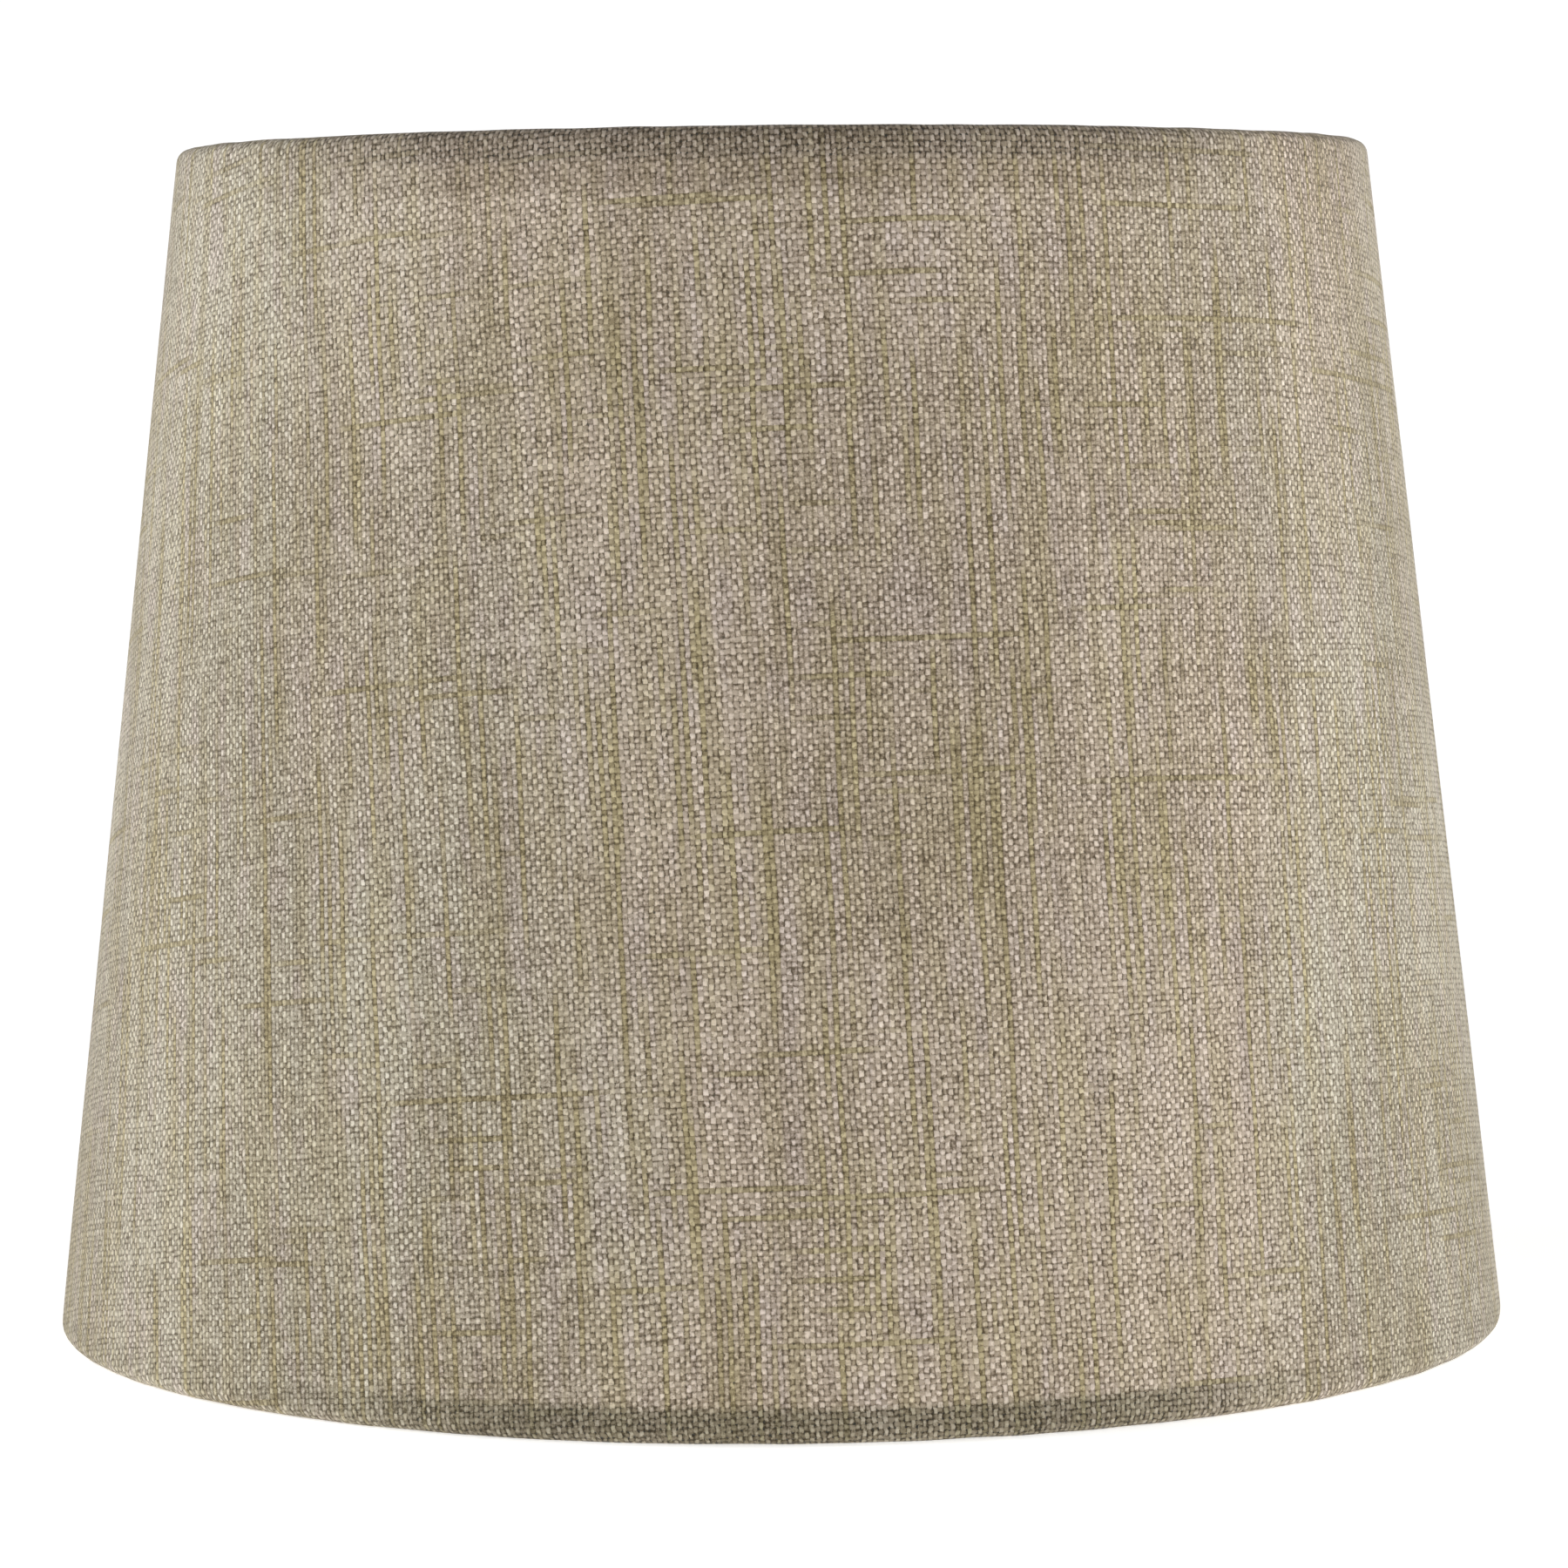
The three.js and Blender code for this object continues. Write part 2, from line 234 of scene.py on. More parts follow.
class Section:
    """Stations across a sheet: place, outward normal and share of the lap's lift."""

    def __init__(self):
        self.places = []
        self.normals = []
        self.rides = []

    def add(self, place, normal, rides=0):
        self.places.append(place)
        self.normals.append(normal / np.linalg.norm(normal))
        self.rides.append(rides)

    def add_line(self, start, end, normals, steps):
        """Evenly spaced stations after `start`, up to `end`, turning from one normal to the other."""
        for i in range(1, steps + 1):
            share = i / steps
            normal = normals[0] * (1 - share) + normals[1] * share
            self.add(start * (1 - share) + end * share, normal)

    def extend_reversed(self, other):
        self.places += other.places[::-1]
        self.normals += other.normals[::-1]
        self.rides += other.rides[::-1]

    def on_wall(self):
        """Which stations lie on the wall between the rolls."""
        return np.array(self.rides) == 1

    def arc_lengths(self):
        steps = np.linalg.norm(np.diff(np.array(self.places), axis=0), axis=1)
        return np.concatenate([[0.0], np.cumsum(steps)])


def rolled_edge(ring):
    """From the hem's cut edge, up behind the ring and round it, to the outer wall."""
    away = 1 if ring is top_ring else -1

    def heading(angle):
        return wall_out * math.cos(angle) + wall_up * away * math.sin(angle)

    leave = math.pi + HEM_TUCK_ANGLE
    tuck_run = (ring_to_hem + ring_to_fabric * math.cos(HEM_TUCK_ANGLE)) / math.sin(HEM_TUCK_ANGLE)
    tuck_depth = ring_to_fabric * math.sin(HEM_TUCK_ANGLE) + tuck_run * math.cos(HEM_TUCK_ANGLE)
    cut = from_ring(ring, ring_to_hem, HEM_DEPTH)
    tuck = from_ring(ring, ring_to_hem, tuck_depth)
    tuck_normal = heading(leave) - wall_out
    section = Section()
    section.add(cut, -wall_out)
    section.add_line(cut, tuck, (-wall_out, tuck_normal / 2), HEM_STEPS)
    first_touch = ring + heading(leave) * ring_to_fabric
    section.add_line(tuck, first_touch, (tuck_normal / 2, heading(leave)), TUCK_STEPS)
    for i in range(1, ROLL_STEPS + 1):
        angle = leave * (1 - i / ROLL_STEPS)
        rides = max(0.0, 1 - angle / LIFT_FADE)
        section.add(ring + heading(angle) * ring_to_fabric, heading(angle), rides)
    return section


def cover_section():
    """The cloth's whole section, from the bottom hem's cut edge to the top one's."""
    section = rolled_edge(bottom_ring)
    start = section.places[-1]
    end = from_ring(top_ring, ring_to_fabric, 0)
    for i in range(1, WALL_STEPS):
        share = (1 - math.cos(math.pi * i / WALL_STEPS)) / 2
        section.add(start * (1 - share) + end * share, wall_out, 1)
    section.extend_reversed(rolled_edge(top_ring))
    return section


def wall_section(out, inset, steps, rides=0):
    """A straight strip of wall between the rings."""
    section = Section()
    start = from_ring(bottom_ring, out, inset)
    end = from_ring(top_ring, out, inset)
    for i in range(steps + 1):
        section.add(start + (end - start) * i / steps, wall_out, rides)
    return section


# ---------------------------------------------------------------- mesh tools

def new_object(name, vertices, faces):
    mesh = bpy.data.meshes.new(name)
    mesh.from_pydata([tuple(v) for v in vertices], [], [tuple(f) for f in faces])
    mesh.update()
    for polygon in mesh.polygons:
        polygon.use_smooth = True
    piece = bpy.data.objects.new(name, mesh)
    bpy.context.scene.collection.objects.link(piece)
    return piece


def finish_piece(piece, material, slot, *nodes):
    piece.data.materials.append(material)
    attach(piece, "root")
    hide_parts(*nodes)


def set_uv(piece, name, per_vertex):
    """A UV map from one pair of numbers per vertex."""
    layer = piece.data.uv_layers.new(name=name)
    corners = np.empty(len(piece.data.loops), np.int32)
    piece.data.loops.foreach_get("vertex_index", corners)
    layer.data.foreach_set("uv", per_vertex[corners].astype(np.float32).ravel())


def set_number(piece, name, per_vertex):
    """A named number at every vertex."""
    layer = piece.data.attributes.new(name, "FLOAT", "POINT")
    layer.data.foreach_set("value", per_vertex.astype(np.float32))


def waver(angles, lengths, size, seed):
    """Smooth random ups and downs over a grid, `size` across, from about -1 to 1."""
    field = np.empty((len(angles), len(lengths)))
    for i, angle in enumerate(angles):
        x = rim_radius * math.cos(angle) / size
        y = rim_radius * math.sin(angle) / size
        for j, length in enumerate(lengths):
            field[i, j] = noise.noise(Vector((x, y, length / size + seed)))
    return field


def round_points(section, angles, reach):
    """Points of a section swept round Z; `reach` is how far each lies out of the section."""
    outward = np.array(section.normals)[None, :, :] * reach[:, :, None]
    places = np.array(section.places)[None, :, :] + outward
    x = places[:, :, 0] * np.cos(angles)[:, None]
    y = places[:, :, 0] * np.sin(angles)[:, None]
    return np.stack([x, y, places[:, :, 1]], axis=2)


def sheet_faces(keep):
    """Both faces of a sheet, and its cut edges, over the kept cells of its grid."""
    rows, columns = keep.shape[0] + 1, keep.shape[1] + 1
    index = np.arange(rows * columns).reshape(rows, columns)
    under = index + rows * columns
    i, j = np.nonzero(keep)
    outer = np.stack([index[i, j], index[i + 1, j], index[i + 1, j + 1], index[i, j + 1]], axis=1)
    inner = np.stack([under[i, j + 1], under[i + 1, j + 1], under[i + 1, j], under[i, j]], axis=1)
    padded = np.pad(keep, 1).astype(int)
    sides = []
    along = padded[1:, 1:-1] - padded[:-1, 1:-1]
    for i, j in zip(*np.nonzero(along)):
        a, b = (index[i, j], index[i, j + 1]) if along[i, j] > 0 else (index[i, j + 1], index[i, j])
        sides.append((a, b, b + rows * columns, a + rows * columns))
    across = padded[1:-1, 1:] - padded[1:-1, :-1]
    for i, j in zip(*np.nonzero(across)):
        a, b = (index[i + 1, j], index[i, j]) if across[i, j] > 0 else (index[i, j], index[i + 1, j])
        sides.append((a, b, b + rows * columns, a + rows * columns))
    return np.concatenate([outer, inner, np.array(sides)])


def drop_unused(vertices, faces, *fields):
    """Only the vertices that a face uses, with their fields."""
    used = np.unique(faces)
    fresh = np.full(len(vertices), -1)
    fresh[used] = np.arange(len(used))
    return [vertices[used], fresh[faces]] + [field[used] for field in fields]


def unit_rows(vectors):
    return vectors / np.linalg.norm(vectors, axis=1)[:, None]


def tube(path, radii, sides, closed=False):
    """Vertices and faces of a rod along a path; `radii` is its half width and half height at each point."""
    path = np.array(path, float)
    count = len(path)
    ahead = np.roll(path, -1, axis=0) - path
    behind = path - np.roll(path, 1, axis=0)
    if not closed:
        ahead[-1] = behind[-1]
        behind[0] = ahead[0]
    run = unit_rows(unit_rows(ahead) + unit_rows(behind))
    side = unit_rows(np.cross(run, (0.0, 0.0, 1.0)))
    up = np.cross(side, run)
    turn = np.arange(sides) * 2 * math.pi / sides
    aside = side[:, None, :] * (np.cos(turn)[None, :] * radii[:, 0:1])[:, :, None]
    above = up[:, None, :] * (np.sin(turn)[None, :] * radii[:, 1:2])[:, :, None]
    vertices = (path[:, None, :] + aside + above).reshape(-1, 3)
    faces = []
    for i in range(count if closed else count - 1):
        for k in range(sides):
            a = i * sides + k
            b = i * sides + (k + 1) % sides
            c = ((i + 1) % count) * sides + (k + 1) % sides
            d = ((i + 1) % count) * sides + k
            faces.append((a, d, c, b))
    if not closed:
        faces.append(tuple(range(sides)))
        faces.append(tuple(range(count * sides - 1, (count - 1) * sides - 1, -1)))
    return vertices, faces


# ---------------------------------------------------------------- shader tools

class Shader:
    """Short ways to add nodes to one material."""

    def __init__(self, name):
        self.material = bpy.data.materials.new(name)
        self.material.use_nodes = True
        self.tree = self.material.node_tree
        self.tree.nodes.clear()
        output = self.tree.nodes.new("ShaderNodeOutputMaterial")
        self.surface = self.tree.nodes.new("ShaderNodeBsdfPrincipled")
        self.tree.links.new(self.surface.outputs[0], output.inputs["Surface"])

    def put(self, value, socket):
        """Link an output to a socket, or set the socket to a constant."""
        if isinstance(value, bpy.types.NodeSocket):
            self.tree.links.new(value, socket)
        elif isinstance(value, tuple) and len(value) == 3 and socket.type == "RGBA":
            socket.default_value = (*value, 1)
        else:
            socket.default_value = value

    def set(self, **values):
        """Constants and links for the Principled surface, by socket name with _ for a space."""
        for name, value in values.items():
            self.put(value, self.surface.inputs[name.replace("_", " ")])

    def math(self, operation, *values):
        node = self.tree.nodes.new("ShaderNodeMath")
        node.operation = operation
        for value, socket in zip(values, node.inputs):
            self.put(value, socket)
        return node.outputs[0]

    def product(self, first, *others):
        for other in others:
            first = self.math("MULTIPLY", first, other)
        return first

    def warmer_when_dark(self, lit):
        """A grey that leans to yellow as it darkens, as light that has gone through fibres does."""
        return self.combine(lit, self.math("POWER", lit, 1.08), self.math("POWER", lit, 1.22))

    def fit(self, value, low, high, to_low=0.0, to_high=1.0, smooth=False):
        """`value` from low..high to to_low..to_high, held at the ends."""
        node = self.tree.nodes.new("ShaderNodeMapRange")
        node.interpolation_type = "SMOOTHSTEP" if smooth else "LINEAR"
        for given, socket in zip((value, low, high, to_low, to_high), node.inputs):
            self.put(given, socket)
        return node.outputs[0]

    def mix(self, share, first, second, blend="MIX"):
        node = self.tree.nodes.new("ShaderNodeMix")
        node.data_type = "RGBA"
        node.blend_type = blend
        self.put(share, node.inputs["Factor"])
        self.put(first, node.inputs[6])
        self.put(second, node.inputs[7])
        return node.outputs[2]

    def mix_value(self, share, first, second):
        node = self.tree.nodes.new("ShaderNodeMix")
        self.put(share, node.inputs[0])
        self.put(first, node.inputs[2])
        self.put(second, node.inputs[3])
        return node.outputs[0]

    def combine(self, x, y, z=0.0):
        node = self.tree.nodes.new("ShaderNodeCombineXYZ")
        for value, socket in zip((x, y, z), node.inputs):
            self.put(value, socket)
        return node.outputs[0]

    def noise(self, place, scale, detail=2.0, roughness=0.5):
        """Smooth noise from 0 to 1 with its middle at 0.5."""
        node = self.tree.nodes.new("ShaderNodeTexNoise")
        self.put(place, node.inputs["Vector"])
        self.put(scale, node.inputs["Scale"])
        self.put(detail, node.inputs["Detail"])
        self.put(roughness, node.inputs["Roughness"])
        return node.outputs["Fac"]

    def random(self, place):
        """An unconnected random number from 0 to 1 at each place."""
        node = self.tree.nodes.new("ShaderNodeTexWhiteNoise")
        self.put(place, node.inputs["Vector"])
        return node.outputs["Value"]

    def length(self, vector):
        node = self.tree.nodes.new("ShaderNodeVectorMath")
        node.operation = "LENGTH"
        self.put(vector, node.inputs[0])
        return node.outputs["Value"]

    def object_place(self):
        return self.tree.nodes.new("ShaderNodeTexCoord").outputs["Object"]

    def uv(self, name):
        """The two numbers of a UV map."""
        layer = self.tree.nodes.new("ShaderNodeUVMap")
        layer.uv_map = name
        split = self.tree.nodes.new("ShaderNodeSeparateXYZ")
        self.tree.links.new(layer.outputs[0], split.inputs[0])
        return split.outputs[0], split.outputs[1]

    def number(self, name):
        node = self.tree.nodes.new("ShaderNodeAttribute")
        node.attribute_name = name
        return node.outputs["Fac"]

    def bump(self, height, distance, strength):
        node = self.tree.nodes.new("ShaderNodeBump")
        self.put(height, node.inputs["Height"])
        self.put(distance, node.inputs["Distance"])
        self.put(strength, node.inputs["Strength"])
        self.tree.links.new(node.outputs[0], self.surface.inputs["Normal"])


# ---------------------------------------------------------------- materials

def linen_material():
    """Plain weave of slubby threads, laid out in the cloth's own flat pattern.

    u counts warps across the fan and v counts wefts along it, so each whole number is a thread.
    """
    shader = Shader("linen_cloth")
    u, v = shader.uv("Pattern")
    u, v = drifted(shader, u, v, seed=0.0), drifted(shader, v, u, seed=40.0)
    ribbed = rib_patches(shader, u, v)
    bare_shaded = bare_and_shaded_rims(shader, u)
    warp_lane, warp_top, warp_tone_and_shade = threads(shader, u, v, ribbed, bare_shaded, kind=0, seed=3.0)
    weft_lane, weft_top, weft_tone_and_shade = threads(shader, v, u, ribbed, bare_shaded, kind=1, seed=57.0)
    height = shader.math("MAXIMUM", warp_top, weft_top)
    warp_shows = shader.fit(shader.math("SUBTRACT", warp_top, weft_top), -0.05, 0.05)
    upper = shader.fit(v, HALFWAY_WEFT - 5, HALFWAY_WEFT + 5)

    crossing = shader.random(shader.combine(warp_lane, weft_lane, 0.5))
    fibre = shader.noise(shader.combine(u, v, 60.0), scale=1.6, roughness=0.75)
    # Painted shade and highlight of the weave, the crossings and the rims, times the threads' own tones
    lit = shader.product(
        relief_light(shader, height, crossing, fibre, bare_shaded),
        shader.mix_value(warp_shows, WEFT_DIMMING, 1.0),
        shader.fit(fibre, 0.25, 0.75, 0.90, 1.10),
        shader.mix_value(warp_shows, weft_tone_and_shade, warp_tone_and_shade),
        painted_rim_shade(shader, u, upper, bare_shaded),
    )
    # Rim colour: partly the cloth with no liner behind, partly painted shade
    rim_tint = shader.mix(upper, BOTTOM_RIM_TINT, TOP_RIM_TINT)
    colour = cloth_colour(shader, warp_lane, u, v)
    colour = shader.mix(shader.math("MULTIPLY", bare_shaded, 0.5), colour, rim_tint)
    lit_colour = shader.mix(1.0, colour, shader.warmer_when_dark(lit), "MULTIPLY")
    # Painted shade in the holes between threads
    gap = shader.mix(bare_shaded, WALL_GAP, RIM_GAP)
    shader.set(Base_Color=shader.mix(shader.fit(height, -0.5, -0.25), gap, lit_colour))
    shader.set(Roughness=0.86, Sheen_Weight=0.25, Sheen_Roughness=0.4, Sheen_Tint=(1.0, 0.98, 0.94))
    shader.set(Specular_IOR_Level=0.25)
    shader.bump(height, BUMP_HEIGHT, 0.8)
    return shader.material


def drifted(shader, across, along, seed):
    """Thread lines that wander a little, so the weave isn't a ruled grid."""
    slow = shader.noise(shader.combine(across, along, seed), scale=0.022, detail=1.0)
    return shader.math("ADD", across, shader.fit(slow, 0, 1, -0.8, 0.8))


def rib_patches(shader, u, v):
    """1 in long patches where the weave packs into ribs and the gaps between warps run on."""
    stretched = shader.combine(u, shader.math("MULTIPLY", v, 0.35), 63.0)
    return shader.fit(shader.noise(stretched, scale=0.026), 0.42, 0.56)


def relief_light(shader, height, crossing, fibre, bare_shaded):
    """Painted shade and highlight from the height of the weave, roughened crossing by crossing and fibre by
    fibre.
    """
    uneven = shader.math(
        "ADD",
        shader.fit(crossing, 0, 1, -0.20, 0.20),
        shader.fit(fibre, 0.25, 0.75, -0.52, 0.52),
    )
    # Deeper painted shade in the holes on the rims
    darkest = shader.fit(bare_shaded, 0, 1, 0.30, 0.20)
    return shader.fit(shader.math("ADD", height, uneven), -0.35, 0.85, darkest, 1.22, smooth=True)


def painted_rim_shade(shader, u, upper, bare_shaded):
    """Painted shade on the rims with no liner behind, on the wall before the top hem, and on the cloth past
    the rings, round the rolls.
    """
    return shader.product(
        shader.fit(bare_shaded, 0, 1, 1.0, shader.mix_value(upper, *RIM_DIMMING)),
        shader.mix_value(upper, 1.0, hem_shadow(shader, u)),
        shader.fit(shader.number("Inward"), -0.0045, -0.001, ROLL_DIMMING, 1.0),
    )


def lane_noise(shader, lane, along, spread, reach, seed, detail=1.0):
    """Noise that differs between threads by `spread` and drifts along each by `reach`."""
    x = shader.math("MULTIPLY", lane, spread)
    y = shader.math("MULTIPLY", along, reach)
    return shader.noise(shader.combine(x, y, seed), scale=1.0, detail=detail)


def threads(shader, across, along, ribbed, bare_shaded, kind, seed):
    """One set of parallel threads, kind 0 warps or 1 wefts: lane number, height, and tone with the painted
    shade of its groove.

    A thread rises over every other crossing and dips under the rest; a warp's ups are a weft's downs.
    """
    lane = shader.math("ROUND", across)
    plump = lane_noise(shader, lane, along, spread=3.7, reach=0.45, seed=seed)
    width = shader.fit(plump, 0.25, 0.75, *THREAD_WIDTH)
    width = shader.math("SUBTRACT", width, shader.math("MULTIPLY", bare_shaded, BARE_THINNING))
    wiggle = lane_noise(shader, lane, along, spread=9.1, reach=0.8, seed=seed + 6)
    wiggle = shader.fit(wiggle, 0, 1, -0.45, 0.45)
    off_middle = shader.math("SUBTRACT", shader.math("SUBTRACT", across, lane), wiggle)
    offset = shader.math("DIVIDE", off_middle, shader.math("MULTIPLY", width, 0.5))
    roundness = shader.math("SUBTRACT", 1.0, shader.math("MULTIPLY", offset, offset))

    hurry = lane_noise(shader, lane, along, spread=4.3, reach=0.6, seed=seed + 8)
    hurry = shader.fit(hurry, 0, 1, -0.7, 0.7)
    crossings = shader.math("ADD", shader.math("ADD", along, hurry), shader.math("ADD", lane, kind))
    wave = shader.math("COSINE", shader.math("MULTIPLY", crossings, math.pi))
    over = shader.math("MULTIPLY", wave, shader.mix_value(ribbed, *THREAD_WAVE))
    top = shader.math("ADD", shader.math("MULTIPLY", roundness, THREAD_ROUNDING), over)
    top = shader.mix_value(shader.fit(roundness, -0.15, 0.15), -1.0, top)

    tone = lane_noise(shader, lane, along, spread=7.31, reach=0.016, seed=seed + 1)
    tone = shader.fit(tone, 0.3, 0.7, *THREAD_TONE)
    groove = groove_between(shader, across, along, ribbed, seed + 4)
    groove_shade = shader.fit(groove, 0, 1, 1.0, GROOVE_DIMMING[kind])
    return lane, top, shader.math("MULTIPLY", tone, groove_shade)


def groove_between(shader, across, along, ribbed, seed):
    """How deep the gap beside a thread is, which sets the painted shade in it: shallow in open weave, and
    running on where it is ribbed.
    """
    gap_number = shader.math("FLOOR", across)
    dark = lane_noise(shader, gap_number, along, spread=5.1, reach=0.022, seed=seed, detail=2.0)
    dark = shader.fit(dark, 0.40, 0.62)
    open_depth = shader.math("MULTIPLY", dark, 0.25)
    ribbed_depth = shader.math("MAXIMUM", dark, 0.55)
    depth = shader.mix_value(ribbed, open_depth, ribbed_depth)
    from_gap = shader.math("ABSOLUTE", shader.math("SUBTRACT", shader.math("FRACT", across), 0.5))
    return shader.math("MULTIPLY", depth, shader.fit(from_gap, 0.06, 0.28, 1.0, 0.0))


def cloth_colour(shader, warp_lane, u, v):
    """Taupe, pinker in the middle of the panel across the front and greener round the sides, a painted
    stand-in for the sides' sheen, with olive streaks and mauve-grey patches.
    """
    stretched = shader.combine(u, shader.math("MULTIPLY", v, 0.4), 80.0)
    ragged = shader.fit(shader.noise(stretched, scale=0.012), 0.3, 0.7, -60.0, 60.0)
    from_middle = shader.math("ABSOLUTE", shader.math("SUBTRACT", u, PINK_WARP))
    from_middle = shader.math("ADD", from_middle, ragged)
    colour = shader.mix(shader.fit(from_middle, *PINK_HALF_WIDTH), PINK_TAUPE, GREEN_TAUPE)
    mauve = lane_noise(shader, u, v, spread=0.20, reach=0.05, seed=83.0, detail=2.0)
    colour = shader.mix(shader.fit(mauve, 0.50, 0.62, 0.0, MAUVE_SHARE), colour, MAUVE_GREY)
    drift = lane_noise(shader, u, v, spread=0.26, reach=0.022, seed=85.0, detail=2.0)
    colour = shader.mix(shader.fit(drift, 0.46, 0.62, 0.0, OLIVE_SHARE), colour, OLIVE)
    streak = lane_noise(shader, warp_lane, v, spread=1.3, reach=0.014, seed=86.0, detail=3.0)
    colour = shader.mix(shader.fit(streak, 0.55, 0.62, 0.0, STREAK_SHARE), colour, OLIVE)
    slub = lane_noise(shader, shader.math("ROUND", v), u, spread=2.3, reach=0.014, seed=89.0, detail=3.0)
    return shader.mix(shader.fit(slub, 0.62, 0.67, 0.0, SLUB_SHARE), colour, SLUB_OLIVE)


def bare_and_shaded_rims(shader, u):
    """1 on the rolls and just past them, where no white liner lies behind the cloth and the rims get painted
    shade; weaker to the sides.
    """
    ragged = shader.fit(shader.noise(shader.combine(u, 0.0, 70.0), scale=0.15), 0, 1, -0.0006, 0.0006)
    inward = shader.math("ADD", shader.number("Inward"), ragged)
    rim = shader.fit(inward, *BARE_MARGIN, 1.0, 0.0, smooth=True)
    return shader.product(frontness(shader, u, 0.15), rim)


def frontness(shader, u, least):
    """1 across the front, falling to `least` round the sides: where the painted rim and hem shade is
    strongest.
    """
    from_front = shader.math("ABSOLUTE", shader.math("SUBTRACT", u, FRONT_WARP))
    return shader.fit(from_front, *BAND_HALF_WIDTH, 1.0, least, smooth=True)


def hem_shadow(shader, u):
    """Painted shade on the wall in front of the turned-in hem, strongest across the front."""
    over_hem = shader.fit(shader.number("Inward"), *HEM_SHADOW_END, 1.0, 0.0, smooth=True)
    return shader.fit(shader.product(over_hem, frontness(shader, u, 0.2)), 0, 1, 1.0, HEM_DIMMING)


def styrene_material():
    """White plastic sheet: faintly clouded and finely grained, with a soft satin."""
    shader = Shader("white_styrene")
    place = shader.object_place()
    cloud = shader.noise(place, scale=26.0, detail=4.0)
    grain = shader.noise(place, scale=900.0, detail=3.0)
    colour = shader.mix(shader.fit(cloud, 0.3, 0.7), (0.86, 0.85, 0.82), (0.91, 0.90, 0.875))
    shader.set(Base_Color=colour, Roughness=shader.fit(cloud, 0.3, 0.7, 0.42, 0.55))
    shader.set(Specular_IOR_Level=0.4)
    shader.bump(shader.math("ADD", grain, shader.math("MULTIPLY", cloud, 2.0)), 0.00006, 0.6)
    return shader.material


def tape_material():
    """Yellowish adhesive film with small bubbles."""
    shader = Shader("tape_film")
    place = shader.object_place()
    bubbles = shader.noise(place, scale=420.0)
    colour = shader.mix(shader.fit(bubbles, 0.45, 0.6), (0.72, 0.66, 0.48), (0.82, 0.78, 0.64))
    shader.set(Base_Color=colour, Roughness=shader.fit(bubbles, 0.4, 0.6, 0.15, 0.35))
    shader.bump(bubbles, 0.00004, 0.6)
    return shader.material


def wire_material():
    """Zinc-plated wire: cloudy plating with fine specks."""
    shader = Shader("plated_wire")
    place = shader.object_place()
    cloud = shader.noise(place, scale=160.0, detail=4.0, roughness=0.6)
    specks = shader.noise(place, scale=1400.0, detail=3.0)
    colour = shader.mix(shader.fit(cloud, 0.35, 0.65), (0.60, 0.57, 0.50), (0.78, 0.76, 0.70))
    shader.set(Base_Color=colour, Metallic=1.0, Roughness=shader.fit(cloud, 0.3, 0.7, 0.24, 0.42))
    shader.bump(specks, 0.00003, 0.5)
    return shader.material


def weld_material():
    """Weld metal: darker and rougher than the wire, with heat tint."""
    shader = Shader("weld_steel")
    place = shader.object_place()
    tint = shader.noise(place, scale=700.0, detail=3.0)
    grain = shader.noise(place, scale=2600.0, detail=3.0)
    colour = shader.mix(shader.fit(tint, 0.35, 0.65), (0.30, 0.27, 0.25), (0.52, 0.50, 0.48))
    shader.set(Base_Color=colour, Metallic=0.9, Roughness=shader.fit(tint, 0.3, 0.7, 0.38, 0.6))
    shader.bump(grain, 0.00008, 0.7)
    return shader.material


def floor_material():
    """Matte white studio floor with a trace of paper grain and a glow that grows outwards."""
    shader = Shader("studio_floor")
    grain = shader.noise(shader.object_place(), scale=60.0, detail=3.0)
    colour = shader.mix(grain, (0.93, 0.93, 0.93), (0.95, 0.95, 0.95))
    shader.set(Base_Color=colour, Roughness=0.9, Specular_IOR_Level=0.0)
    glow = shader.fit(shader.length(shader.object_place()), *GLOW_RISE, *FLOOR_GLOW)
    shader.set(Emission_Color=(1.0, 1.0, 1.0), Emission_Strength=glow)
    return shader.material


# ---------------------------------------------------------------- cloth and liner

def spoke_angles():
    return [FIRST_SPOKE_ANGLE + i * 2 * math.pi / SPOKE_COUNT for i in range(SPOKE_COUNT)]


def wrap_angles(notch_half_width=0.0):
    """Angles round the panel: the lap's under ply, the single ply, the ramp and the outer ply."""
    notch = notch_half_width / top_ring[0]
    ramp_foot = ramp_top - ramp_angle
    angles = np.concatenate([
        np.linspace(SEAM_ANGLE, lap_end, UNDER_PLY_STATIONS),
        np.linspace(lap_end + clip_angle, ramp_foot, ROUND_STEPS),
        np.linspace(ramp_foot, ramp_top, RAMP_STATIONS)[1:],
        np.linspace(ramp_top, ramp_top + lap_angle, OUTER_PLY_STATIONS)[1:],
    ])
    if notch:
        for spoke_angle in spoke_angles():
            centre = spoke_angle if spoke_angle > lap_end else spoke_angle + 2 * math.pi
            for side in (-notch, notch):
                angles[np.argmin(abs(angles - centre - side))] = centre + side
    return angles


def notch_cells(angles, section):
    """Cells of the top hem, inside the ring, that the spokes pass through."""
    half = notch_half_width() / top_ring[0]
    lintel = top_ring[1] + SPOKE_DIAMETER / 2 + NOTCH_CLEARANCE
    places = np.array(section.places)
    middles = (places[1:] + places[:-1]) / 2
    below_ring = top_ring[1] - middles[:, 1]
    hem = (middles[:, 1] < lintel) & (below_ring < HEM_DEPTH * 1.2)
    hem &= middles[:, 0] < top_ring[0] - wall_out[0] * ring_wire * 0.5 + below_ring * cone_sine
    turns = (angles[1:] + angles[:-1]) / 2
    cells = np.zeros((len(turns), len(middles)), bool)
    for spoke_angle in spoke_angles():
        away = abs((turns - spoke_angle + math.pi) % (2 * math.pi) - math.pi)
        cells |= (away < half)[:, None] & hem[None, :]
    return cells


def notch_half_width():
    return max(SPOKE_DIAMETER, WELD_WIDTH) / 2 + NOTCH_CLEARANCE


